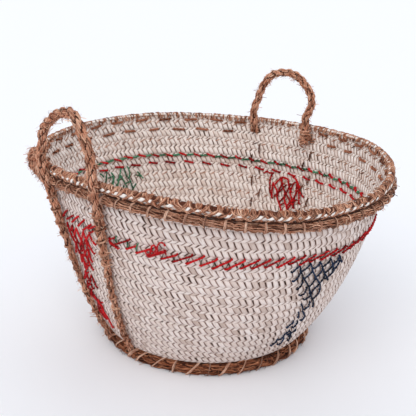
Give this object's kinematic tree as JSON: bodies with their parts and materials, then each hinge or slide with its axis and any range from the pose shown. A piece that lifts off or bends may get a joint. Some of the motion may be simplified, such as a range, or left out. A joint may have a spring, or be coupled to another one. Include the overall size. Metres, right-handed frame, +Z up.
{
  "type": "basket",
  "caption": "Oval plaited palm-leaf basket with tipping rope handles, a rope rim and foot, and coloured yarn stitching.",
  "frame": {"origin": "on the floor, below the middle of the box round the whole basket", "axes": "+X along the long side of the oval mouth, +Y towards the handle whose rope comes up inside the rim, +Z up out of the mouth"},
  "size_m": [0.4589, 0.4115, 0.325],
  "materials": {
    "palm_leaf": "dry plaited leaf, off-white with brown-grey gaps",
    "coir_rope": "hairy twisted rope, reddish brown",
    "dark_coir_rope": "hairy twisted rope, dark brown",
    "coir_twine": "twisted twine, brown",
    "red_yarn": "soft yarn, deep red",
    "green_yarn": "soft yarn, green",
    "navy_yarn": "soft yarn, navy"
  },
  "bodies": {
    "basket": {"plaited_wall": "palm_leaf", "plaited_base": "palm_leaf", "lip_binding": "coir_twine", "rim_rope_left_handle": "coir_rope", "rim_rope_front": "coir_rope", "rim_rope_right_handle": "coir_rope", "rim_rope_back": "coir_rope", "rim_twine_left_handle": "coir_twine", "rim_twine_front": "coir_twine", "rim_twine_right_handle": "coir_twine", "rim_twine_back": "coir_twine", "inner_rim_twine": "coir_twine", "base_rope": "dark_coir_rope", "base_rope_twine": "coir_twine", "left_handle_front_leg": "coir_rope", "left_handle_back_leg": "coir_rope", "left_handle_front_twine": "coir_twine", "left_handle_back_twine": "coir_twine", "right_handle_front_leg": "coir_rope", "right_handle_back_leg": "coir_rope", "right_handle_front_twine": "coir_twine", "right_handle_back_twine": "coir_twine", "outer_band_yarn_left_handle": "red_yarn", "outer_band_yarn_front": "red_yarn", "outer_band_yarn_right_handle": "red_yarn", "outer_band_yarn_back": "red_yarn", "inner_band_yarn_upper": "green_yarn", "inner_band_yarn_lower": "red_yarn", "red_yarn_knot": "red_yarn", "left_red_motif": "red_yarn", "right_red_motif": "red_yarn", "navy_motif": "navy_yarn", "green_motif": "green_yarn"},
    "left_handle": {"left_handle_arch": "coir_rope"},
    "right_handle": {"right_handle_arch": "coir_rope"}
  },
  "joints": [
    {"name": "left_handle_tip", "type": "hinge", "parent": "basket", "child": "left_handle", "pos_m": [0.0123, -0.19654, 0.2584], "axis": [0.9971, 0.0661, 0.0372], "range_deg": [-80, 80], "stiffness_Nm_per_rad": 0.1},
    {"name": "right_handle_tip", "type": "hinge", "parent": "basket", "child": "right_handle", "pos_m": [-0.07551, 0.17536, 0.24566], "axis": [0.9711, 0.2365, 0.0316], "range_deg": [-80, 80], "stiffness_Nm_per_rad": 0.1}
  ]
}
